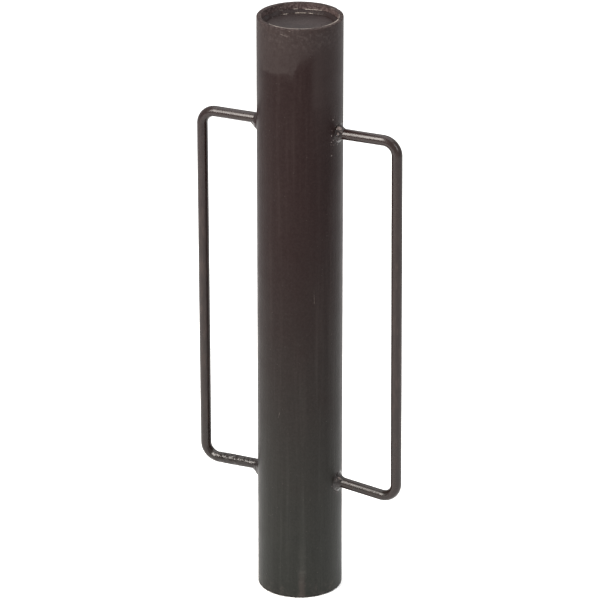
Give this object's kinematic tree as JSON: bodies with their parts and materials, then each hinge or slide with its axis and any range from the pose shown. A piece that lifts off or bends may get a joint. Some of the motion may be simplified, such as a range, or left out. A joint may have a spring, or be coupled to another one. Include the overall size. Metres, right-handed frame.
{
  "type": "post driver",
  "caption": "Manual post driver: a long heavy steel tube, open below and closed near its top by a welded striker plug, with bent round-bar side handles.",
  "frame": {"origin": "centre of the barrel's open lower end, in the plane of its end face", "axes": "+Z along the barrel towards the closed striking end; the handles lie in the XZ plane, and +X is the side of the handle whose lower leg slopes down outwards"},
  "size_m": [0.2319, 0.0888, 0.635],
  "materials": {
    "barrel_paint": "semi-gloss brown-black paint",
    "plug_paint": "semi-gloss brown-black paint, thinner over the sawn face",
    "handle_paint": "glossy brown-black paint",
    "weld_paint": "glossy brown-black paint over rough weld bead"
  },
  "bodies": {
    "root": {"barrel_tube": "barrel_paint", "striker_plug": "plug_paint", "plug_weld": "weld_paint", "left_handle": "handle_paint", "right_handle": "handle_paint", "left_upper_weld": "weld_paint", "left_lower_weld": "weld_paint", "right_upper_weld": "weld_paint", "right_lower_weld": "weld_paint"}
  },
  "joints": []
}
